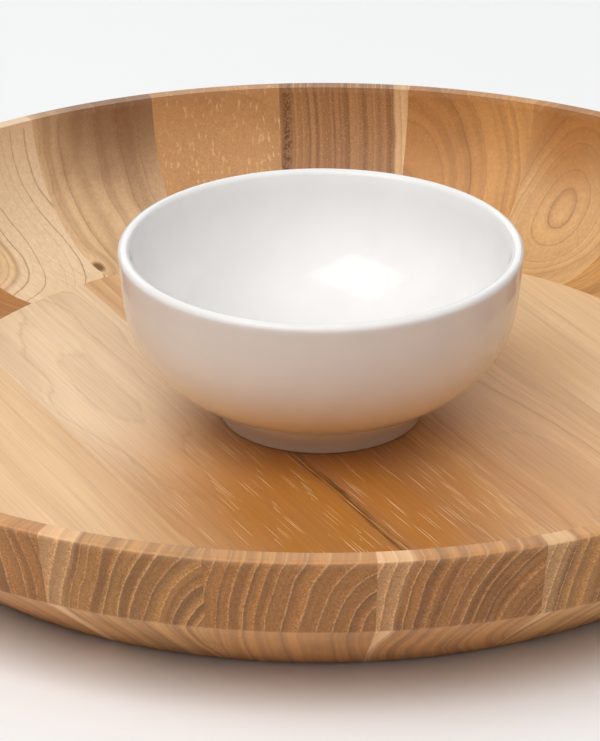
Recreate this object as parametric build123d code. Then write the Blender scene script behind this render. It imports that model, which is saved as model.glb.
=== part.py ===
from build123d import *
import os

# Chip and dip server: a coopered wooden tray with a loose glazed bowl standing in its middle.
# Millimetres, +Z up, origin at the centre of the flat that the tray stands on.
# Sections are drawn as (radius, height) and turned about Z.

# Tray as a whole
tray_radius = 190.0
tray_height = 56.0
floor_top = 12.0

# Rim ring, glued up from equal staves whose grain points outwards
stave_count = 24
stave_angle = 360.0 / stave_count
first_joint = -100.2            # degrees from +X, the joint to the left of the front stave
rim_width = 6.2                 # flat top edge of the rim
face_foot_radius = 185.5        # bottom corner of the leaning outer face
face_foot_height = 31.2
bevel_foot_radius = 148.5       # where the underside's bevel would meet the base
cove_centre_radius = 136.0      # hollow inside of the rim, one arc running into the floor
cove_radius = 48.0
rim_inner_round = 1.2
rim_outer_round = 1.5
face_foot_round = 2.0
base_round = 6.0

# Lap joint between ring and floor: the floor disc drops into a rebate in the ring
joint_radius = 133.5
rebate_width = 7.0
rebate_height = 5.5

# Floor, boards glued edge to edge and turned to a stepped disc
board_count = 5
board_width = 2 * joint_radius / board_count
board_direction = 28.0          # degrees from +X, the way across the boards
relief_radius = 118.0           # shallow hollow turned under the floor
relief_depth = 1.5

# Dip bowl, standing on the floor
bowl_height = 60.0
bowl_radius = 66.0
lip_round = 2.0                 # the lip is a half round of this radius
foot_radius = 33.4
foot_top_radius = 34.0
foot_height = 7.0
foot_wall = 4.0
foot_recess = 3.5
foot_round = 0.8
bowl_floor = 9.0                # inside bottom of the bowl, above the tray's floor
outer_belly = [(67.3, 21.6), (64.0, 38.6)]      # pull points of the outside curve, foot to lip
inner_belly = [(59.5, 50.0), (69.5, bowl_floor)]    # pull points of the inside curve, lip to middle


def nearest_vertex(sketch, radius, height):
    """The sketch's vertex at this radius and height."""
    return sketch.vertices().sort_by_distance((radius, height, 0))[0]


def rounded(sketch, radius, height, rounding):
    """The sketch with one corner rounded."""
    return fillet(nearest_vertex(sketch, radius, height), rounding)


def stave_section():
    """Section of the rim, from its rebate at the floor out to its top edge."""
    cove_centre_height = floor_top + cove_radius
    cove_mid = Vector(cove_centre_radius, cove_centre_height) + Vector(cove_radius, 0).rotate(Axis.Z, -45)
    rim_inner_radius = tray_radius - rim_width
    outline = Polyline(
        (cove_centre_radius, floor_top),
        (joint_radius, floor_top),
        (joint_radius, rebate_height),
        (joint_radius - rebate_width, rebate_height),
        (joint_radius - rebate_width, 0),
        (bevel_foot_radius, 0),
        (face_foot_radius, face_foot_height),
        (tray_radius, tray_height),
        (rim_inner_radius, tray_height),
    )
    cove = ThreePointArc((rim_inner_radius, tray_height), cove_mid, (cove_centre_radius, floor_top))
    section = make_face(outline + cove)
    section = rounded(section, bevel_foot_radius, 0, base_round)
    section = rounded(section, face_foot_radius, face_foot_height, face_foot_round)
    section = rounded(section, tray_radius, tray_height, rim_outer_round)
    return rounded(section, rim_inner_radius, tray_height, rim_inner_round)


def rim_stave(index):
    """One stave: the rim's section turned through one step of the ring."""
    blank = revolve(Plane.XZ * stave_section(), Axis.Z, stave_angle)
    return Rot(0, 0, first_joint + index * stave_angle) * blank


def floor_disc():
    """The whole floor, stepped at its edge to sit in the ring's rebate, hollowed a little below."""
    seat_radius = joint_radius - rebate_width
    upper = Pos(0, 0, rebate_height) * Cylinder(
        joint_radius, floor_top - rebate_height, align=(Align.CENTER, Align.CENTER, Align.MIN)
    )
    lower = Cylinder(seat_radius, rebate_height, align=(Align.CENTER, Align.CENTER, Align.MIN))
    relief = Cylinder(relief_radius, relief_depth, align=(Align.CENTER, Align.CENTER, Align.MIN))
    return upper + lower - relief


def floor_board(index):
    """One board: the strip of the floor disc between two glue lines."""
    near_edge = -joint_radius + index * board_width
    strip = Pos(near_edge, 0, 0) * Box(
        board_width, 2 * tray_radius, tray_height, align=(Align.MIN, Align.CENTER, Align.MIN)
    )
    return floor_disc() & (Rot(0, 0, board_direction) * strip)


def bowl_section():
    """Half section of the bowl: foot ring, belly, half-round lip, inside and recessed base."""
    lip_height = bowl_height - lip_round
    inner_radius = bowl_radius - 2 * lip_round
    foot_inner_radius = foot_radius - foot_wall
    outer = Bezier((foot_top_radius, foot_height), *outer_belly, (bowl_radius, lip_height))
    lip = ThreePointArc(
        (bowl_radius, lip_height), (bowl_radius - lip_round, bowl_height), (inner_radius, lip_height)
    )
    inner = Bezier((inner_radius, lip_height), *inner_belly, (0, bowl_floor))
    base = Polyline(
        (0, bowl_floor),
        (0, foot_recess),
        (foot_inner_radius, foot_recess),
        (foot_inner_radius, 0),
        (foot_radius, 0),
        (foot_top_radius, foot_height),
    )
    section = make_face(outer + lip + inner + base)
    section = rounded(section, foot_inner_radius, 0, foot_round)
    return rounded(section, foot_radius, 0, foot_round)


def dip_bowl():
    """The loose bowl, its foot on the tray's floor."""
    return Pos(0, 0, floor_top) * revolve(Plane.XZ * bowl_section(), Axis.Z)


os.makedirs("parts", exist_ok=True)

for index in range(stave_count):
    export_step(rim_stave(index), f"parts/rim_stave_{index + 1:02d}.step")

for index in range(board_count):
    export_step(floor_board(index), f"parts/floor_board_{index + 1}.step")

export_step(dip_bowl(), "parts/dip_bowl.step")
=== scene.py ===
import random
from math import cos, pi, radians, sin, tan

import bmesh
import bpy
from mathutils import Matrix, Vector
from mathutils.geometry import interpolate_bezier


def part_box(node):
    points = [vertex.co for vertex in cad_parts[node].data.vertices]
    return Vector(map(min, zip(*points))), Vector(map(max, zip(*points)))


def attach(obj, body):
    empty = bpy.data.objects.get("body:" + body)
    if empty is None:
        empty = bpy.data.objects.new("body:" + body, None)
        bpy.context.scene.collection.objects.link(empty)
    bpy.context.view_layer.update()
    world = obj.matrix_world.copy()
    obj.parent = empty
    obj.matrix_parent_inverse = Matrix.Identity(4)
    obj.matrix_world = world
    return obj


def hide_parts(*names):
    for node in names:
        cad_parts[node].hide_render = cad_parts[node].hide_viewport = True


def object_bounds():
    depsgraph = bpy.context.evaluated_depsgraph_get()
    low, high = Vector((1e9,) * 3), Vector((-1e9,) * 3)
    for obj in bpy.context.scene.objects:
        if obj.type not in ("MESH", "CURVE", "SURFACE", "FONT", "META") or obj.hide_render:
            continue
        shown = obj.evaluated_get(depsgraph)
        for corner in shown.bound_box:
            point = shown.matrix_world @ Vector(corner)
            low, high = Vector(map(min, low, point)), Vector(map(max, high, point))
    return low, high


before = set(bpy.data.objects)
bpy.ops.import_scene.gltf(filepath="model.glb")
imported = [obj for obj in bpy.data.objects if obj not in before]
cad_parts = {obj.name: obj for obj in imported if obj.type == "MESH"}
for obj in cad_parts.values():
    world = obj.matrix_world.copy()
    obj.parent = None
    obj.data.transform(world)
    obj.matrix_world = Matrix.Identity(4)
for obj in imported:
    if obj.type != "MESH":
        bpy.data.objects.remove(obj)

mm = 0.001
mergeGap = 0.002 * mm       # vertices closer than this become one
scene = bpy.context.scene
cadLow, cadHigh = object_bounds()

staveNames = sorted(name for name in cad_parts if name.startswith("rim_stave"))
boardNames = sorted(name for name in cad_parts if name.startswith("floor_board"))
trayRadius = cadHigh.x + 0.29 * mm          # to the sharp corner, before the rim is rounded
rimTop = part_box(staveNames[0])[1].z
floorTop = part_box(boardNames[2])[1].z
bowlLow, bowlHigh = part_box("dip_bowl")


# Mesh helpers

def turnedPoint(radius, height):
    return (radius, 0.0, height)


def addChain(bm, points):
    # a run of vertices joined by edges, in the plane that is turned about Z
    verts = [bm.verts.new(turnedPoint(radius, height)) for radius, height in points]
    for first, second in zip(verts, verts[1:]):
        bm.edges.new((first, second))
    return verts


def roundCorner(bm, vert, radius, segments):
    # the offset along each edge that gives an arc of this radius
    arms = [edge.other_vert(vert).co - vert.co for edge in vert.link_edges]
    halfTurn = (pi - arms[0].angle(arms[1])) / 2
    bmesh.ops.bevel(bm, geom=[vert], offset=radius * tan(halfTurn), offset_type="OFFSET",
                    segments=segments, profile=0.5, affect="VERTICES", material=-1)


def finishPiece(bm, name, material, body, standsFor, sharpAngle=30):
    bmesh.ops.remove_doubles(bm, verts=bm.verts, dist=mergeGap)
    bmesh.ops.recalc_face_normals(bm, faces=bm.faces)
    for edge in bm.edges:
        edge.smooth = edge.calc_face_angle(0.0) < radians(sharpAngle)
    for face in bm.faces:
        face.smooth = True
    mesh = bpy.data.meshes.new(name)
    bm.to_mesh(mesh)
    bm.free()
    mesh.materials.append(material)
    piece = bpy.data.objects.new(name, mesh)
    scene.collection.objects.link(piece)
    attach(piece, body)
    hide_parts(standsFor)


# Node helpers

def addNode(tree, kind, **settings):
    node = tree.nodes.new(kind)
    for name, value in settings.items():
        setattr(node, name, value)
    return node


def plug(tree, socket, value):
    if isinstance(value, bpy.types.NodeSocket):
        tree.links.new(value, socket)
    else:
        socket.default_value = value


def calc(tree, operation, *values):
    node = addNode(tree, "ShaderNodeMath", operation=operation)
    for socket, value in zip(node.inputs, values):
        plug(tree, socket, value)
    return node.outputs[0]


def vectorCalc(tree, operation, *values):
    node = addNode(tree, "ShaderNodeVectorMath", operation=operation)
    for socket, value in zip(node.inputs, values):
        plug(tree, socket, value)
    return node.outputs["Value"] if operation in ("LENGTH", "DOT_PRODUCT") else node.outputs["Vector"]


def ramp(tree, value, low, high, outLow=0.0, outHigh=1.0):
    # smooth step from low to high
    node = addNode(tree, "ShaderNodeMapRange", interpolation_type="SMOOTHSTEP")
    for socket, entry in zip(node.inputs, (value, low, high, outLow, outHigh)):
        plug(tree, socket, entry)
    return node.outputs[0]


def noise(tree, vector, scale, detail=2.0, roughness=0.5, seed=None):
    # seed shifts a 4D pattern, so pieces sawn from different boards differ
    node = addNode(tree, "ShaderNodeTexNoise", noise_dimensions="4D")
    plug(tree, node.inputs["Vector"], vector)
    plug(tree, node.inputs["W"], 0.0 if seed is None else seed)
    node.inputs["Scale"].default_value = scale
    node.inputs["Detail"].default_value = detail
    node.inputs["Roughness"].default_value = roughness
    return node


def mixColour(tree, factor, first, second, blend="MIX"):
    node = addNode(tree, "ShaderNodeMix", data_type="RGBA", blend_type=blend)
    plug(tree, node.inputs["Factor"], factor)
    plug(tree, node.inputs["A"], first)
    plug(tree, node.inputs["B"], second)
    return node.outputs["Result"]


def greyOf(tree, value):
    node = addNode(tree, "ShaderNodeCombineColor")
    for socket in node.inputs[:3]:
        plug(tree, socket, value)
    return node.outputs[0]


def newGroup(name, inputs, outputs):
    tree = bpy.data.node_groups.new(name, "ShaderNodeTree")
    for label, kind, default in inputs:
        socket = tree.interface.new_socket(label, in_out="INPUT", socket_type="NodeSocket" + kind)
        socket.default_value = default
    for label, kind in outputs:
        tree.interface.new_socket(label, in_out="OUTPUT", socket_type="NodeSocket" + kind)
    entry = addNode(tree, "NodeGroupInput")
    leave = addNode(tree, "NodeGroupOutput")
    return tree, entry.outputs, leave.inputs


def useGroup(tree, group, **values):
    node = addNode(tree, "ShaderNodeGroup", node_tree=group)
    for label, value in values.items():
        plug(tree, node.inputs[label], value)
    return node.outputs


# Growth rings: shells round a pith, in millimetres along the grain, across it and up. Stretch
# scales the three: (0, 1, 1) gives straight cylinders, and some along closes the rings into
# ovals, as where a stem bends or tapers.

def makeGrowthRings():
    tree, given, out = newGroup("growthRings", [
        ("Vector", "Vector", (0, 0, 0)),
        ("Pith", "Vector", (0, 30, 20)),
        ("Stretch", "Vector", (0, 1, 0.65)),
        ("Ring Width", "Float", 6.0),
        ("Waver", "Float", 4.0),
        ("Knot", "Vector", (0, 0, 0)),
        ("Knot Size", "Float", 0.0),
        ("Seed", "Float", 0.0),
    ], [("Distance", "Float"), ("Phase", "Float"), ("Ring", "Float"), ("Band", "Float"), ("Knot", "Float")])

    # the whole stem wavers slowly along its length, and a little more quickly across it
    half = (0.5, 0.5, 0.5)
    slow = noise(tree, vectorCalc(tree, "MULTIPLY", given["Vector"], (0.007, 0.022, 0.022)), 1.0, 2.0, 0.5,
                 given["Seed"])
    quick = noise(tree, vectorCalc(tree, "MULTIPLY", given["Vector"], (0.03, 0.12, 0.12)), 1.0, 3.0, 0.6,
                  calc(tree, "ADD", given["Seed"], 7.3))
    moved = given["Vector"]
    for texture, amount in ((slow, 4.0), (quick, 0.5)):
        shift = vectorCalc(tree, "SCALE", vectorCalc(tree, "SUBTRACT", texture.outputs["Color"], half))
        plug(tree, shift.node.inputs["Scale"], calc(tree, "MULTIPLY", given["Waver"], amount))
        moved = vectorCalc(tree, "ADD", moved, shift)
    fromPith = vectorCalc(tree, "SUBTRACT", moved, given["Pith"])
    distance = vectorCalc(tree, "LENGTH", vectorCalc(tree, "MULTIPLY", fromPith, given["Stretch"]))

    # a knot pushes the rings aside round a small round spot
    toKnot = vectorCalc(tree, "MULTIPLY", vectorCalc(tree, "SUBTRACT", moved, given["Knot"]), (0.6, 1, 0.15))
    knotSize = calc(tree, "MAXIMUM", given["Knot Size"], 0.01)
    knotReach = calc(tree, "DIVIDE", vectorCalc(tree, "LENGTH", toKnot), knotSize)
    spot = calc(tree, "EXPONENT", calc(tree, "MULTIPLY", calc(tree, "POWER", knotReach, 2.0), -0.35))
    distance = calc(tree, "MULTIPLY_ADD", spot, calc(tree, "MULTIPLY", given["Knot Size"], 2.4), distance)

    # years of fast and slow growth
    years = addNode(tree, "ShaderNodeTexNoise", noise_dimensions="1D")
    plug(tree, years.inputs["W"], calc(tree, "MULTIPLY_ADD", distance, 0.06, given["Seed"]))
    years.inputs["Scale"].default_value = 1.0
    years.inputs["Detail"].default_value = 1.0
    age = calc(tree, "DIVIDE", distance, given["Ring Width"])
    age = calc(tree, "MULTIPLY_ADD", calc(tree, "SUBTRACT", years.outputs[0], 0.5), 1.8, age)
    plug(tree, out["Distance"], distance)
    plug(tree, out["Phase"], calc(tree, "FRACT", age))
    ring = addNode(tree, "ShaderNodeTexWhiteNoise", noise_dimensions="1D")
    plug(tree, ring.inputs["W"], calc(tree, "ADD", calc(tree, "ROUND", age), given["Seed"]))
    plug(tree, out["Ring"], ring.outputs["Value"])
    band = addNode(tree, "ShaderNodeTexNoise", noise_dimensions="1D")
    bandSeed = calc(tree, "ADD", given["Seed"], 50.0)
    plug(tree, band.inputs["W"], calc(tree, "MULTIPLY_ADD", age, 0.9, bandSeed))
    band.inputs["Scale"].default_value = 1.0
    band.inputs["Detail"].default_value = 2.0
    plug(tree, out["Band"], ramp(tree, band.outputs[0], 0.38, 0.66))
    solid = calc(tree, "GREATER_THAN", given["Knot Size"], 0.02)
    plug(tree, out["Knot"], calc(tree, "MULTIPLY", ramp(tree, knotReach, 1.0, 0.35), solid))
    return tree


# Pores: long thin vessels along the grain, dashes on a long face and dots on a sawn end

def makePores():
    tree, given, out = newGroup("poreVessels", [
        ("Vector", "Vector", (0, 0, 0)),
        ("Spacing", "Float", 0.45),
        ("Length", "Float", 26.0),
        ("Crowding", "Float", 0.5),
        ("Seed", "Float", 0.0),
    ], [("Mask", "Float")])
    across = calc(tree, "DIVIDE", 1.0, given["Spacing"])
    scales = addNode(tree, "ShaderNodeCombineXYZ")
    plug(tree, scales.inputs[0], calc(tree, "DIVIDE", 1.0, given["Length"]))
    plug(tree, scales.inputs[1], across)
    plug(tree, scales.inputs[2], across)
    cells = addNode(tree, "ShaderNodeTexVoronoi", voronoi_dimensions="3D", feature="F1")
    apart = vectorCalc(tree, "SCALE", (1, 1, 1))
    plug(tree, apart.node.inputs["Scale"], given["Seed"])
    scaled = vectorCalc(tree, "MULTIPLY", given["Vector"], scales.outputs[0])
    plug(tree, cells.inputs["Vector"], vectorCalc(tree, "ADD", scaled, apart))
    cells.inputs["Scale"].default_value = 1.0
    split = addNode(tree, "ShaderNodeSeparateColor")
    plug(tree, split.inputs[0], cells.outputs["Color"])
    kept = calc(tree, "LESS_THAN", split.outputs[0], given["Crowding"])
    dot = ramp(tree, cells.outputs["Distance"], 0.37, 0.12)
    plug(tree, out["Mask"], calc(tree, "MULTIPLY", kept, dot))
    return tree


growthRings = makeGrowthRings()
poreVessels = makePores()


# Oiled teak: heartwood and sapwood, with a dark line at each ring on a long face and a pale one
# on a sawn end

def makeTeak():
    tree, given, out = newGroup("oiledTeak", [
        ("Vector", "Vector", (0, 0, 0)),
        ("Normal", "Vector", (0, 0, 1)),
        ("Pith", "Vector", (160, 30, 20)),
        ("Stretch", "Vector", (0, 1, 0.65)),
        ("Ring Width", "Float", 6.0),
        ("Waver", "Float", 4.0),
        ("Knot", "Vector", (0, 0, 0)),
        ("Knot Size", "Float", 0.0),
        ("Sapwood", "Float", 400.0),
        ("Banding", "Float", 0.4),
        ("Pores", "Float", 0.6),
        ("Lines", "Float", 0.32),
        ("Fleck", "Float", 0.0),
        ("Streak Across", "Float", 0.0),
        ("Streak", "Float", 0.0),
        ("Patch", "Vector", (0, 0, 0)),
        ("Patch Reach", "Float", 0.0),
        ("Patch Tone", "Color", (0.66, 0.33, 0.115, 1)),
        ("Rim Wear And Highlight", "Float", 0.0),
        ("Heart", "Color", (0.66, 0.33, 0.115, 1)),
        ("Deep", "Color", (0.22, 0.09, 0.035, 1)),
        ("Sap", "Color", (0.70, 0.48, 0.28, 1)),
        ("Pore", "Color", (0.88, 0.60, 0.32, 1)),
        ("Seed", "Float", 0.0),
    ], [("Color", "Color"), ("Roughness", "Float"), ("Height", "Float")])

    rings = useGroup(tree, growthRings, **{label: given[label] for label in (
        "Vector", "Pith", "Stretch", "Ring Width", "Waver", "Knot", "Knot Size", "Seed")})
    facing = addNode(tree, "ShaderNodeSeparateXYZ")
    plug(tree, facing.inputs[0], given["Normal"])
    # the outside wall is a sawn end, and so is the steep top of the cove, which is polished smoother
    outward = ramp(tree, facing.outputs[0], 0.72, 0.97)
    inward = ramp(tree, calc(tree, "MULTIPLY", facing.outputs[0], -1.0), 0.6, 1.0, 0.0, 0.35)
    sawnEnd = calc(tree, "MAXIMUM", outward, inward)
    longFace = calc(tree, "SUBTRACT", 1.0, sawnEnd)

    # distance from the nearest ring boundary, in millimetres
    phase = rings["Phase"]
    nearest = calc(tree, "MINIMUM", phase, calc(tree, "SUBTRACT", 1.0, phase))
    edge = calc(tree, "MULTIPLY", nearest, given["Ring Width"])
    ragged = noise(tree, given["Vector"], 0.9, 2.0, 0.6, given["Seed"]).outputs[0]
    edge = calc(tree, "MULTIPLY_ADD", calc(tree, "SUBTRACT", ragged, 0.5), 0.35, edge)
    line = ramp(tree, edge, 0.34, 0.05)
    early = ramp(tree, phase, 0.45, 0.0)
    late = calc(tree, "POWER", phase, 2.2)

    # broad tone of the board, bands ring by ring, and fine fibre
    broad = noise(tree, vectorCalc(tree, "MULTIPLY", given["Vector"], (0.006, 0.05, 0.05)), 1.0, 3.0, 0.55,
                  calc(tree, "ADD", given["Seed"], 2.1)).outputs[0]
    fibre = noise(tree, vectorCalc(tree, "MULTIPLY", given["Vector"], (0.02, 1.1, 1.1)), 1.0, 3.0, 0.65,
                  calc(tree, "ADD", given["Seed"], 4.7)).outputs[0]
    grit = noise(tree, given["Vector"], 1.9, 2.0, 0.7, calc(tree, "ADD", given["Seed"], 9.1)).outputs[0]

    # round one spot the wood turns to the patch tone: round the bowl's foot on the floor this is partly
    # painted shade, at the top of staves 11 and 12 it is painted shade, elsewhere it is the wood's own tone
    place = addNode(tree, "ShaderNodeSeparateXYZ")
    plug(tree, place.inputs[0], given["Vector"])
    toPatch = vectorCalc(tree, "MULTIPLY", vectorCalc(tree, "SUBTRACT", given["Vector"], given["Patch"]),
                         (0.8, 1, 0.8))
    cloud = calc(tree, "MULTIPLY_ADD", calc(tree, "SUBTRACT", broad, 0.5), 30.0,
                 vectorCalc(tree, "LENGTH", toPatch))
    patchEnd = calc(tree, "MAXIMUM", given["Patch Reach"], 0.01)
    toneAndShadePatch = ramp(tree, cloud, patchEnd, calc(tree, "MULTIPLY", patchEnd, 0.25))
    heartAndPatch = mixColour(tree, toneAndShadePatch, given["Heart"], given["Patch Tone"])

    # late wood is darker, and some years are darker than others
    dark = calc(tree, "MULTIPLY", late, calc(tree, "MULTIPLY_ADD", rings["Ring"], 0.35, 0.15))
    dark = calc(tree, "MULTIPLY_ADD", rings["Band"], 0.75, dark)
    dark = calc(tree, "MULTIPLY", dark, given["Banding"])
    dark = calc(tree, "ADD", dark, ramp(tree, broad, 0.45, 0.75, 0.0, 0.25))
    colour = mixColour(tree, calc(tree, "MINIMUM", dark, 0.9), heartAndPatch, given["Deep"])

    # sapwood outside the heart, behind a thin dark outline
    sapEdge = calc(tree, "SUBTRACT", rings["Distance"], given["Sapwood"])
    sapMask = ramp(tree, sapEdge, -0.6, 0.8)
    sapTone = mixColour(tree, calc(tree, "MULTIPLY", late, 0.45), given["Sap"], given["Heart"])
    sapTone = mixColour(tree, calc(tree, "MULTIPLY", outward, 0.4), sapTone, given["Heart"])
    colour = mixColour(tree, sapMask, colour, sapTone)
    outline = calc(tree, "MULTIPLY", ramp(tree, calc(tree, "ABSOLUTE", sapEdge), 1.5, 0.1),
                   ramp(tree, broad, 0.35, 0.6, 0.1, 0.5))
    colour = mixColour(tree, outline, colour, given["Deep"])

    # a dark mineral streak that runs with the grain
    wander = noise(tree, vectorCalc(tree, "MULTIPLY", given["Vector"], (0.03, 0.0, 0.0)), 1.0, 3.0, 0.6,
                   calc(tree, "ADD", given["Seed"], 3.3)).outputs[0]
    offset = calc(tree, "SUBTRACT", place.outputs[1], given["Streak Across"])
    offset = calc(tree, "MULTIPLY_ADD", calc(tree, "SUBTRACT", wander, 0.5), 7.0, offset)
    mineral = calc(tree, "MULTIPLY", ramp(tree, calc(tree, "ABSOLUTE", offset), 2.7, 0.4), given["Streak"])
    mineral = calc(tree, "MULTIPLY", mineral, ramp(tree, fibre, 0.38, 0.62))
    mineral = calc(tree, "MULTIPLY", mineral, calc(tree, "MULTIPLY_ADD", toneAndShadePatch, 0.85, 0.15))
    colour = mixColour(tree, mineral, colour, (0.09, 0.035, 0.012, 1))

    # ring boundary: a thin dark line on a long face
    low = ramp(tree, place.outputs[2], 54.5, 53.0)
    longLine = calc(tree, "MULTIPLY", calc(tree, "MULTIPLY", line, calc(tree, "MULTIPLY", longFace, low)),
                    calc(tree, "MULTIPLY_ADD", rings["Ring"], given["Lines"], 0.03))
    colour = mixColour(tree, longLine, colour, given["Deep"])

    # fibre and pores, with most of the pores in the early wood
    streak = calc(tree, "MULTIPLY_ADD", calc(tree, "SUBTRACT", fibre, 0.5), 0.5, 1.0)
    colour = mixColour(tree, 1.0, colour, greyOf(tree, streak), "MULTIPLY")
    crowding = calc(tree, "MULTIPLY", calc(tree, "MULTIPLY_ADD", early, 0.75, 0.35), given["Pores"])
    vessels = useGroup(tree, poreVessels, Vector=given["Vector"], Crowding=crowding, Seed=given["Seed"])
    poreMask = calc(tree, "MULTIPLY", calc(tree, "MULTIPLY", vessels["Mask"], given["Pores"]), longFace)
    poreMask = calc(tree, "MULTIPLY", poreMask, 0.7)
    colour = mixColour(tree, poreMask, colour, given["Pore"])

    # pale flecks where the rays come out on the surface
    rays = noise(tree, vectorCalc(tree, "MULTIPLY", given["Vector"], (0.5, 0.9, 0.22)), 1.0, 2.0, 0.55,
                 calc(tree, "ADD", given["Seed"], 6.2)).outputs[0]
    fleck = calc(tree, "MULTIPLY", ramp(tree, rays, 0.56, 0.66), ramp(tree, broad, 0.35, 0.6, 0.35, 1.0))
    colour = mixColour(tree, calc(tree, "MULTIPLY", fleck, given["Fleck"]), colour, given["Pore"])

    # a sawn end drinks more oil: darker, gritty, warm in the early wood and grey in the late,
    # with a thin pale line at each ring
    endTone = mixColour(tree, outward, (1, 1, 1, 1), (0.65, 0.61, 0.585, 1))
    colour = mixColour(tree, 1.0, colour, endTone, "MULTIPLY")
    bands = calc(tree, "MULTIPLY", calc(tree, "MULTIPLY", late, outward),
                 calc(tree, "MULTIPLY_ADD", rings["Ring"], 0.3, 0.1))
    colour = mixColour(tree, bands, colour, given["Deep"])
    warm = calc(tree, "MULTIPLY", calc(tree, "MULTIPLY", early, outward),
                ramp(tree, grit, 0.4, 0.62, 0.1, 0.75))
    colour = mixColour(tree, warm, colour, (1.6, 1.42, 1.15, 1), "MULTIPLY")
    speckle = calc(tree, "MULTIPLY", outward, ramp(tree, grit, 0.3, 0.7, -0.2, 0.2))
    colour = mixColour(tree, 1.0, colour, greyOf(tree, calc(tree, "ADD", 1.0, speckle)), "MULTIPLY")
    endLine = calc(tree, "MULTIPLY", calc(tree, "MULTIPLY", line, outward),
                   calc(tree, "MULTIPLY_ADD", rings["Ring"], 0.7, 0.3))
    endPale = calc(tree, "MULTIPLY", endLine, ramp(tree, grit, 0.3, 0.6, 0.12, 0.36))
    colour = mixColour(tree, endPale, colour, given["Pore"])

    # paler along the top of the rim: painted highlight where light from above falls on it, with some rubbing
    # wear
    crest = ramp(tree, place.outputs[2], 53.2, 55.2)
    crestLine = calc(tree, "MULTIPLY", calc(tree, "MULTIPLY", line, crest), 0.16)
    colour = mixColour(tree, crestLine, colour, given["Pore"])
    rimHighlightAndWear = calc(tree, "MULTIPLY", crest, given["Rim Wear And Highlight"])
    rimHighlightAndWear = calc(tree, "MULTIPLY", rimHighlightAndWear, ramp(tree, broad, 0.3, 0.7, 0.7, 1.0))
    colour = mixColour(tree, rimHighlightAndWear, colour, (0.76, 0.53, 0.38, 1))

    # knot
    knotTone = mixColour(tree, 1.0, given["Deep"], (0.6, 0.55, 0.5, 1), "MULTIPLY")
    colour = mixColour(tree, calc(tree, "MULTIPLY", rings["Knot"], 0.85), colour, knotTone)

    plug(tree, out["Color"], colour)
    rough = calc(tree, "MULTIPLY_ADD", fibre, 0.12, 0.38)
    rough = calc(tree, "MULTIPLY_ADD", sawnEnd, 0.14, rough)
    plug(tree, out["Roughness"], calc(tree, "MULTIPLY_ADD", poreMask, 0.15, rough))
    height = calc(tree, "MULTIPLY_ADD", fibre, 0.25, calc(tree, "MULTIPLY", poreMask, -0.5))
    height = calc(tree, "MULTIPLY_ADD", endLine, 0.9, height)
    height = calc(tree, "MULTIPLY_ADD", calc(tree, "MULTIPLY", grit, outward), 0.7, height)
    plug(tree, out["Height"], height)
    return tree


oiledTeak = makeTeak()


woodFinish = {
    "bumpStrength": 0.35,
    "bumpDepth": 0.25 * mm,
    "ior": 1.38,                # low, for a matt oil finish
}


# A teak whose grain runs along the piece: turn is the grain's direction about Z
def makeWood(name, turn, shift, figure):
    material = bpy.data.materials.new(name)
    material.use_nodes = True
    tree = material.node_tree
    shader = tree.nodes["Principled BSDF"]
    place = addNode(tree, "ShaderNodeTexCoord")
    # object metres to millimetres along, across and up
    turned = addNode(tree, "ShaderNodeMapping", vector_type="POINT")
    turned.inputs["Rotation"].default_value = (0, 0, -turn)
    turned.inputs["Location"].default_value = shift
    turned.inputs["Scale"].default_value = (1000, 1000, 1000)
    plug(tree, turned.inputs["Vector"], place.outputs["Object"])
    facing = addNode(tree, "ShaderNodeMapping", vector_type="NORMAL")
    facing.inputs["Rotation"].default_value = (0, 0, -turn)
    plug(tree, facing.inputs["Vector"], place.outputs["Normal"])
    wood = useGroup(tree, oiledTeak, Vector=turned.outputs[0], Normal=facing.outputs[0], **figure)
    plug(tree, shader.inputs["Base Color"], wood["Color"])
    plug(tree, shader.inputs["Roughness"], wood["Roughness"])
    bump = addNode(tree, "ShaderNodeBump")
    bump.inputs["Strength"].default_value = woodFinish["bumpStrength"]
    bump.inputs["Distance"].default_value = woodFinish["bumpDepth"]
    plug(tree, bump.inputs["Height"], wood["Height"])
    plug(tree, shader.inputs["Normal"], bump.outputs[0])
    shader.inputs["IOR"].default_value = woodFinish["ior"]
    return material


def tone(red, green, blue):
    return (red, green, blue, 1.0)


# Rim staves

staveShape = {
    "turn": 15.0,               # degrees of the ring that one stave fills
    "frontAngle": -92.7,        # direction of the first stave's middle, from +X
    "rimWidth": 6.2 * mm,
    "faceFoot": (4.5 * mm, 24.8 * mm),      # in from the rim, and below it
    "baseCorner": 41.5 * mm,    # in from the rim to where the bevel would meet the base
    "coveRadius": 48.0 * mm,
    "coveStart": 54.0 * mm,     # in from the rim to where the cove meets the floor
    "joint": 56.5 * mm,         # in from the rim to the joint with the floor
    "rebate": (7.0 * mm, 5.5 * mm),
    "baseRound": 6.0 * mm,
    "faceRound": 2.0 * mm,
    "rimOuterRound": 1.5 * mm,
    "rimInnerRound": 1.2 * mm,
    "coveSteps": 28,
    "turnSteps": 24,
}

heartTones = {
    "cream": tone(0.83, 0.61, 0.39),
    "pale": tone(0.83, 0.56, 0.31),
    "tan": tone(0.72, 0.42, 0.18),
    "honey": tone(0.66, 0.33, 0.11),
    "clove": tone(0.58, 0.30, 0.12),
    "amber": tone(0.46, 0.18, 0.03),
    "russet": tone(0.50, 0.22, 0.065),
    "umber": tone(0.62, 0.285, 0.09),
    "sand": tone(0.76, 0.47, 0.235),
    "straw": tone(0.84, 0.50, 0.25),
    "cocoa": tone(0.44, 0.215, 0.085),
    "smoky": tone(0.32, 0.175, 0.09),
}


# a figure's settings as the teak group names them
def readFigure(figure):
    labels = {"RingWidth": "Ring Width", "KnotSize": "Knot Size", "StreakAcross": "Streak Across",
              "PatchReach": "Patch Reach", "PatchHeart": "Patch Tone", "RimWear": "Rim Wear And Highlight"}
    tones = {label: heartTones[value] for label, value in figure.items() if isinstance(value, str)}
    return {labels.get(label, label): tones.get(label, value) for label, value in figure.items()}


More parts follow.
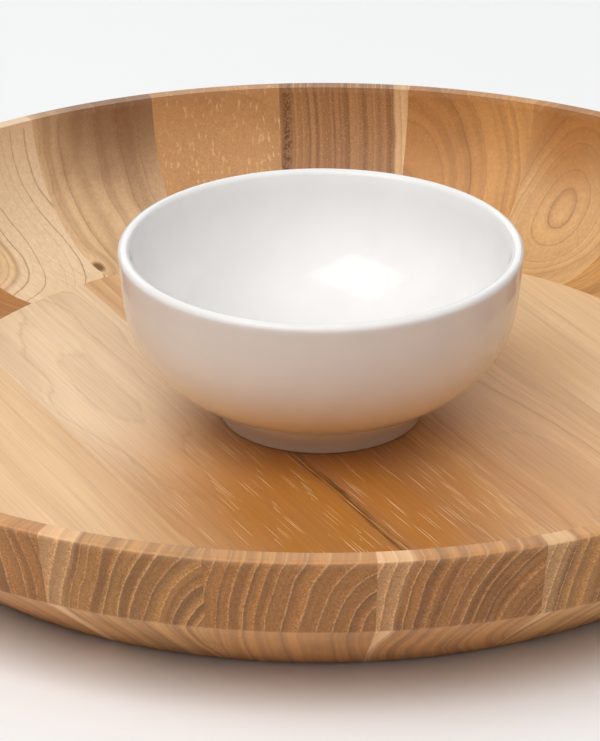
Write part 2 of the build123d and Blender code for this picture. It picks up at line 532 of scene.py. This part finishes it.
# the figure of each stave: where its pith lies, how wide its rings are, how it is coloured.
# Pith is along, across and up; across is to the right on the staves nearest the front.
staveFigures = {
    1: dict(Pith=(180, 32, 18), RingWidth=3.9, Waver=2.4, Heart="umber", Sap="straw"),
    2: dict(Pith=(180, 34, 16), RingWidth=3.3, Waver=2.4, Heart="umber", Sapwood=54.2, Banding=0.6,
            Sap="straw"),
    3: dict(Pith=(180, 36, 18), RingWidth=3.9, Waver=2.4, Heart="honey", Sapwood=56.0, Sap="sand"),
    # on staves 11 and 12 the russet patch round the top of the cove is painted shade, darker towards the rim
    11: dict(Pith=(167, 2, 25), Stretch=(0.6, 1, 0.6), RingWidth=4.6, Heart="tan", Waver=3.0, Lines=0.36,
             Banding=0.25, Patch=(190, 8, 58), PatchReach=40.0, PatchHeart="russet", Sap="cream"),
    12: dict(Pith=(160, 26, 18), Stretch=(0.5, 1, 0.6), RingWidth=6.0, Heart="honey", Waver=3.0, Lines=0.45,
             Banding=0.3, Patch=(190, 20, 46), PatchReach=40.0, PatchHeart="russet", Sap="cream"),
    13: dict(Pith=(160, 96, 30), RingWidth=3.0, Heart="cocoa", Banding=0.75, Sapwood=115.4, Waver=1.2,
             Pores=0.9, StreakAcross=21.0, Streak=0.9, Patch=(165, 21, 40), PatchReach=40.0,
             PatchHeart="cocoa", Sap="sand"),
    14: dict(Pith=(160, 14, -110), Stretch=(0.2, 1, 0.65), RingWidth=16.0, Heart="clove", Banding=0.15,
             Pores=0.8, Fleck=0.55),
    15: dict(Pith=(160, -70, 42), RingWidth=9.0, Heart="pale", Banding=0.4, Sap="cream", Lines=0.45,
             Knot=(139, 19, 12), KnotSize=3.0, Patch=(190, -14, 60), PatchReach=50.0, PatchHeart="smoky"),
    16: dict(Pith=(165, 26, 16), Stretch=(0.9, 1, 0.34), RingWidth=4.6, Heart="pale", Sapwood=20.0,
             Banding=0.4, Lines=0.6, Sap="cream"),
    23: dict(Pith=(180, -30, 20), RingWidth=4.2, Waver=2.4, Heart="umber", Sap="straw"),
    24: dict(Pith=(180, 32, 18), RingWidth=3.5, Waver=2.4, Heart="honey", Sapwood=50.0, Sap="straw"),
}


def addStaveSection(bm):
    shape = staveShape
    coveCentre = (trayRadius - shape["coveStart"], floorTop + shape["coveRadius"])
    joint = trayRadius - shape["joint"]
    rebateIn, rebateUp = shape["rebate"]
    corners = addChain(bm, [
        (coveCentre[0], floorTop),
        (joint, floorTop),
        (joint, rebateUp),
        (joint - rebateIn, rebateUp),
        (joint - rebateIn, 0.0),
        (trayRadius - shape["baseCorner"], 0.0),
        (trayRadius - shape["faceFoot"][0], rimTop - shape["faceFoot"][1]),
        (trayRadius, rimTop),
        (trayRadius - shape["rimWidth"], rimTop),
    ])
    # the hollow of the cove, spun from the floor up to the rim
    rise = (floorTop + shape["coveRadius"] - rimTop) / shape["coveRadius"]
    sweep = pi / 2 - rise
    start = bm.verts.new(corners[0].co)
    spun = bmesh.ops.spin(bm, geom=[start], cent=turnedPoint(*coveCentre), axis=(0, -1, 0),
                          angle=sweep, steps=shape["coveSteps"], use_merge=False, use_duplicate=False)
    bmesh.ops.remove_doubles(bm, verts=[corners[0], start], dist=0.001 * mm)
    lastVert = spun["geom_last"][0]
    bm.edges.new((corners[-1], lastVert))
    bmesh.ops.contextual_create(bm, geom=bm.edges[:])
    for radius, height, rounding, steps in (
        (trayRadius - shape["baseCorner"], 0.0, shape["baseRound"], 8),
        (trayRadius - shape["faceFoot"][0], rimTop - shape["faceFoot"][1], shape["faceRound"], 5),
        (trayRadius, rimTop, shape["rimOuterRound"], 6),
        (trayRadius - shape["rimWidth"], rimTop, shape["rimInnerRound"], 6),
    ):
        target = Vector(turnedPoint(radius, height))
        corner = min(bm.verts, key=lambda vert: (vert.co - target).length)
        roundCorner(bm, corner, rounding, steps)


def makeStave(number, nodeName):
    shape = staveShape
    middle = radians(shape["frontAngle"] + (number - 1) * shape["turn"])
    half = radians(shape["turn"]) / 2
    bm = bmesh.new()
    addStaveSection(bm)
    bmesh.ops.rotate(bm, verts=bm.verts, cent=(0, 0, 0), matrix=Matrix.Rotation(middle - half, 3, "Z"))
    bmesh.ops.spin(bm, geom=bm.verts[:] + bm.edges[:] + bm.faces[:], cent=(0, 0, 0), axis=(0, 0, 1),
                   angle=2 * half, steps=shape["turnSteps"], use_merge=False, use_duplicate=False)

    chance = random.Random(100 + number)
    figure = {
        "Pith": (180, chance.choice((-1, 1)) * chance.uniform(20, 60), chance.uniform(5, 35)),
        "Stretch": (chance.choice((0, 0, 0.5)), 1, chance.uniform(0.5, 0.8)),
        "RingWidth": chance.uniform(4.5, 7.5),
        "Heart": chance.choice(("honey", "tan", "russet", "umber")),
        "Sapwood": chance.choice((400.0, 400.0, chance.uniform(45, 60))),
        "Banding": chance.uniform(0.3, 0.6),
        "RimWear": 0.1,
        "Seed": number * 3.17,
    }
    if number in staveFigures:
        figure.update({"Sapwood": 400.0, **staveFigures[number]})
    material = makeWood(f"rimTeak{number:02d}", middle, (0, 0, 0), readFigure(figure))
    finishPiece(bm, f"rimStave{number:02d}", material, "tray", nodeName)


for number, nodeName in enumerate(staveNames, start=1):
    makeStave(number, nodeName)
print("staves done:", len(staveNames))


# Floor boards

floorShape = {
    "direction": -62.0,         # degrees, the way the boards' grain runs
    "reliefRadius": 118.0 * mm,
    "reliefDepth": 1.5 * mm,
    "turnSteps": 180,
    "toneAndShadePatch": (70.0, -26.0),     # middle of the darker amber round the bowl's foot, along and across in millimetres: partly the boards' own tone, partly painted shade of the bowl's shadow and its dark reflection
    "toneAndShadeReach": 92.0,
}

boardFigures = {
    1: dict(Pith=(0, -46, -40), RingWidth=8.0, Banding=0.2, Heart="pale"),
    2: dict(Pith=(-50, -4, -15), Stretch=(0.16, 1, 0.8), RingWidth=4.4, Waver=9.0, Pores=0.9, Banding=0.2,
            Heart="cream", Lines=0.14),
    3: dict(Pith=(0, 70, -30), RingWidth=7.0, Banding=0.4, Pores=1.0, StreakAcross=-23.0, Streak=1.0,
            Heart="sand"),
    4: dict(Pith=(105, -6, -12), Stretch=(0.14, 1, 1), RingWidth=5.0, Banding=0.3, Heart="sand", Lines=0.34,
            PatchReach=100.0),
    5: dict(Pith=(0, 74, -30), RingWidth=6.5, Banding=0.12, Heart="pale", Patch=(0, -34, 12),
            PatchReach=40.0, PatchHeart="sand"),
}


def makeBoard(number, nodeName):
    joint = trayRadius - staveShape["joint"]
    rebateIn, rebateUp = staveShape["rebate"]
    bm = bmesh.new()
    addChain(bm, [
        (0.0, floorTop),
        (joint, floorTop),
        (joint, rebateUp),
        (joint - rebateIn, rebateUp),
        (joint - rebateIn, 0.0),
        (floorShape["reliefRadius"], 0.0),
        (floorShape["reliefRadius"], floorShape["reliefDepth"]),
        (0.0, floorShape["reliefDepth"]),
    ])
    bmesh.ops.spin(bm, geom=bm.verts[:] + bm.edges[:], cent=(0, 0, 0), axis=(0, 0, 1), angle=2 * pi,
                   steps=floorShape["turnSteps"], use_merge=True, use_duplicate=False)
    bmesh.ops.remove_doubles(bm, verts=bm.verts, dist=mergeGap)
    # the two glue lines, square to the way across the boards
    grain = radians(floorShape["direction"])
    acrossWay = Vector((-sin(grain), cos(grain), 0.0))
    width = 2 * joint / len(boardNames)
    near = -joint + (number - 1) * width
    for edge, keepSide in ((near, 1), (near + width, -1)):
        if abs(edge) > joint - mm:
            continue
        cut = bmesh.ops.bisect_plane(bm, geom=bm.verts[:] + bm.edges[:] + bm.faces[:],
                                     plane_co=acrossWay * edge, plane_no=acrossWay * keepSide,
                                     clear_inner=True, clear_outer=False)
        edges = [item for item in cut["geom_cut"] if isinstance(item, bmesh.types.BMEdge)]
        bmesh.ops.holes_fill(bm, edges=[edge for edge in edges if edge.is_boundary], sides=0)

    chance = random.Random(300 + number)
    middle = near + width / 2
    along, across = floorShape["toneAndShadePatch"]
    # the amber patch round the bowl's foot is partly painted shade of the bowl's shadow and its dark
    # reflection
    figure = {"Seed": 40 + number * 2.31, "Waver": 4.0, "Pores": 0.6, "Lines": 0.22, "Heart": "pale",
              "Deep": tone(0.40, 0.18, 0.08),
              "Patch": (along, across - middle / mm, floorTop / mm), "PatchHeart": "amber",
              "PatchReach": floorShape["toneAndShadeReach"] + chance.uniform(-5, 5)}
    figure.update(boardFigures[number])
    material = makeWood(f"floorTeak{number}", grain, (0, -middle / mm, 0), readFigure(figure))
    finishPiece(bm, f"floorBoard{number}", material, "tray", nodeName)


for number, nodeName in enumerate(boardNames, start=1):
    makeBoard(number, nodeName)
print("boards done:", len(boardNames))


# Dip bowl

bowlShape = {
    "lipRound": 2.0 * mm,
    "footRadius": 33.4 * mm,
    "footTop": (34.0 * mm, 7.0 * mm),
    "footWall": 4.0 * mm,
    "footRecess": 3.5 * mm,
    "footRound": 0.8 * mm,
    "inside": 9.0 * mm,         # inside bottom above the foot
    "outerPull": ((67.3 * mm, 21.6 * mm), (64.0 * mm, 38.6 * mm)),
    "innerPull": ((59.5 * mm, 50.0 * mm), (69.5 * mm, 9.0 * mm)),
    "wallSteps": 40,
    "lipSteps": 12,
    "turnSteps": 192,
}


# heights are in millimetres above the tray's floor, from where a change starts to where it is full
glazeFinish = {
    "thick": tone(0.90, 0.885, 0.865),
    "even": tone(0.93, 0.915, 0.895),
    "wellShade": tone(0.53, 0.51, 0.50),
    "wellShadeDepth": 0.40,          # how far the painted shade in the well greys the glaze
    "wellShadeHeights": (36.0, 6.0),
    "footShadeTone": tone(0.50, 0.42, 0.35),
    "footShadeStrength": 0.5,           # how far the painted shade darkens the outside near the foot
    "footShadeHeights": (7.5, 3.5),
    "wiped": tone(0.62, 0.58, 0.52),
    "wipedHeights": (0.9, 0.35),
    "roughness": 0.008,
    "wipedRoughness": 0.6,      # added where the glaze is wiped off
    "rippleStrength": 0.004,
    "rippleDepth": 0.3 * mm,
}


def makeGlaze():
    finish = glazeFinish
    material = bpy.data.materials.new("whiteGlaze")
    material.use_nodes = True
    tree = material.node_tree
    shader = tree.nodes["Principled BSDF"]
    place = addNode(tree, "ShaderNodeTexCoord")
    millimetres = vectorCalc(tree, "SCALE", place.outputs["Object"])
    millimetres.node.inputs["Scale"].default_value = 1000.0
    axes = addNode(tree, "ShaderNodeSeparateXYZ")
    plug(tree, axes.inputs[0], millimetres)

    def heightRamp(heights):
        low, high = (floorTop / mm + height for height in heights)
        return ramp(tree, axes.outputs[2], low, high)

    # the glaze pools a little unevenly, and the well inside the bowl gets a painted shade, greyer towards
    # the bottom
    cloud = noise(tree, millimetres, 0.05, 3.0, 0.5).outputs[0]
    body = mixColour(tree, ramp(tree, cloud, 0.35, 0.65), finish["thick"], finish["even"])
    outwards = vectorCalc(tree, "MULTIPLY", place.outputs["Object"], (1, 1, 0))
    outwards = vectorCalc(tree, "DOT_PRODUCT", outwards, place.outputs["Normal"])
    wellShade = calc(tree, "MULTIPLY", calc(tree, "LESS_THAN", outwards, 0.0), heightRamp(finish["wellShadeHeights"]))
    body = mixColour(tree, calc(tree, "MULTIPLY", wellShade, finish["wellShadeDepth"]), body, finish["wellShade"])
    # painted shade darkens the outside towards the foot, and the glaze is wiped off the bottom
    outside = calc(tree, "GREATER_THAN", outwards, 0.0)
    footShade = calc(tree, "MULTIPLY", heightRamp(finish["footShadeHeights"]), outside)
    body = mixColour(tree, calc(tree, "MULTIPLY", footShade, finish["footShadeStrength"]), body, finish["footShadeTone"])
    wiped = heightRamp(finish["wipedHeights"])
    body = mixColour(tree, wiped, body, finish["wiped"])
    plug(tree, shader.inputs["Base Color"], body)
    rough = calc(tree, "MULTIPLY_ADD", wiped, finish["wipedRoughness"], finish["roughness"])
    plug(tree, shader.inputs["Roughness"], rough)
    bump = addNode(tree, "ShaderNodeBump")
    bump.inputs["Strength"].default_value = finish["rippleStrength"]
    bump.inputs["Distance"].default_value = finish["rippleDepth"]
    plug(tree, bump.inputs["Height"], noise(tree, millimetres, 0.35, 2.0, 0.4).outputs[0])
    plug(tree, shader.inputs["Normal"], bump.outputs[0])
    shader.inputs["IOR"].default_value = 1.5
    return material


def makeBowl():
    shape = bowlShape
    tall = bowlHigh.z - bowlLow.z
    wide = bowlHigh.x
    lipHeight = tall - shape["lipRound"]
    inner = wide - 2 * shape["lipRound"]
    steps = shape["wallSteps"]

    def curve(start, pulls, end):
        points = [Vector((radius, height, 0)) for radius, height in (start, *pulls, end)]
        return [(point.x, point.y) for point in interpolate_bezier(*points, steps)]

    footInner = shape["footRadius"] - shape["footWall"]
    outside = curve(shape["footTop"], shape["outerPull"], (wide, lipHeight))
    lipTurns = [pi * step / shape["lipSteps"] for step in range(1, shape["lipSteps"])]
    lip = [(wide + shape["lipRound"] * (cos(turn) - 1), lipHeight + shape["lipRound"] * sin(turn))
           for turn in lipTurns]
    inside = curve((inner, lipHeight), shape["innerPull"], (0.0, shape["inside"]))
    outline = [(0.0, shape["footRecess"]), (footInner, shape["footRecess"]), (footInner, 0.0),
               (shape["footRadius"], 0.0), *outside, *lip, *inside]
    bm = bmesh.new()
    addChain(bm, [(radius, bowlLow.z + height) for radius, height in outline])
    bmesh.ops.spin(bm, geom=bm.verts[:] + bm.edges[:], cent=(0, 0, 0), axis=(0, 0, 1), angle=2 * pi,
                   steps=shape["turnSteps"], use_merge=True, use_duplicate=False)
    bmesh.ops.remove_doubles(bm, verts=bm.verts, dist=mergeGap)
    footEdges = [edge for edge in bm.edges if edge.calc_face_angle(0.0) > radians(50)
                 and max(vert.co.z for vert in edge.verts) < bowlLow.z + 0.1 * mm]
    bmesh.ops.bevel(bm, geom=footEdges, offset=shape["footRound"], offset_type="OFFSET", segments=4,
                    profile=0.5, affect="EDGES", material=-1)
    finishPiece(bm, "dipBowl", makeGlaze(), "bowl", "dip_bowl", sharpAngle=40)


makeBowl()
print("bowl done")


# Camera, floor and light

studio = {
    "cameraPlace": (0.0, -1.10486, 0.54578),
    "cameraPitch": 25.182,      # degrees down
    "cameraYaw": -0.356,        # degrees to the right
    "cameraRoll": 0.197,
    "lens": 179.9,
    "brightWay": (-0.05, -0.2, 0.98),
    "surround": 0.12,
    "overhead": 0.78,
    "floorTone": tone(0.945, 0.951, 0.956),
    "floorSize": 12.0,          # half its side, in metres
    "floorDrop": 0.02 * mm,     # below the tray, so the two don't share a plane
}

softboxes = {
    "keyLight": dict(place=(-0.75, -1.28, 2.6), width=4.6, height=2.3, brightness=2.24, mirrored=False),
    "windowLight": dict(place=(-0.613, -0.794, 1.47), width=1.22, height=1.36, brightness=1.55, roll=76.0,
                        lights=False),
    "backLight": dict(place=(0.0, 3.55, 1.85), width=5.6, height=1.77, brightness=1.2),
}


def makeCamera():
    data = bpy.data.cameras.new("camera")
    data.sensor_width = 36.0
    data.lens = studio["lens"]
    data.clip_start, data.clip_end = 0.05, 60.0
    camera = bpy.data.objects.new("camera", data)
    scene.collection.objects.link(camera)
    turn = (Matrix.Rotation(radians(-studio["cameraYaw"]), 4, "Z")
            @ Matrix.Rotation(radians(90 - studio["cameraPitch"]), 4, "X")
            @ Matrix.Rotation(radians(-studio["cameraRoll"]), 4, "Z"))
    camera.matrix_world = Matrix.Translation(studio["cameraPlace"]) @ turn
    scene.camera = camera


def makeStageFloor():
    bm = bmesh.new()
    bmesh.ops.create_grid(bm, x_segments=1, y_segments=1, size=studio["floorSize"])
    mesh = bpy.data.meshes.new("stageFloor")
    bm.to_mesh(mesh)
    bm.free()
    material = bpy.data.materials.new("paleFloor")
    material.use_nodes = True
    tree = material.node_tree
    shader = tree.nodes["Principled BSDF"]
    shader.inputs["Base Color"].default_value = studio["floorTone"]
    # clear from beneath, so the underside can be looked at
    facing = addNode(tree, "ShaderNodeNewGeometry")
    plug(tree, shader.inputs["Alpha"], calc(tree, "SUBTRACT", 1.0, facing.outputs["Backfacing"]))
    shader.inputs["Roughness"].default_value = 0.8
    shader.inputs["Specular IOR Level"].default_value = 0.1
    mesh.materials.append(material)
    floor = bpy.data.objects.new("stageFloor", mesh)
    scene.collection.objects.link(floor)
    floor.location.z = -studio["floorDrop"]


# brightness is the radiance of the panel, so its size changes only how soft it is
def addSoftbox(name, place, width, height, brightness, roll=0.0, lights=True, mirrored=True):
    data = bpy.data.lights.new(name, "AREA")
    data.shape = "RECTANGLE"
    data.size, data.size_y = width, height
    data.energy = brightness * pi * width * height
    light = bpy.data.objects.new(name, data)
    light.visible_camera = False
    light.visible_diffuse = lights
    light.visible_glossy = mirrored
    scene.collection.objects.link(light)
    aim = (-Vector(place)).to_track_quat("-Z", "Y").to_matrix().to_4x4()
    light.matrix_world = Matrix.Translation(place) @ aim @ Matrix.Rotation(radians(roll), 4, "Z")


def makeLight():
    world = bpy.data.worlds.new("world")
    world.use_nodes = True
    background = world.node_tree.nodes["Background"]
    background.inputs["Color"].default_value = tone(1.0, 1.0, 1.0)
    # brightest overhead and a little to the front left, and falling away evenly to the floor
    tree = world.node_tree
    place = addNode(tree, "ShaderNodeTexCoord")
    brightWay = Vector(studio["brightWay"]).normalized()
    lift = vectorCalc(tree, "DOT_PRODUCT", place.outputs["Generated"], brightWay)
    lift = calc(tree, "POWER", calc(tree, "MAXIMUM", lift, 0.0), 3.0)
    glow = calc(tree, "MULTIPLY_ADD", lift, studio["overhead"], studio["surround"])
    plug(tree, background.inputs["Strength"], glow)
    scene.world = world
    for name, settings in softboxes.items():
        addSoftbox(name, **settings)


makeCamera()
makeStageFloor()
makeLight()
scene.view_settings.view_transform = "Standard"
print("studio done")
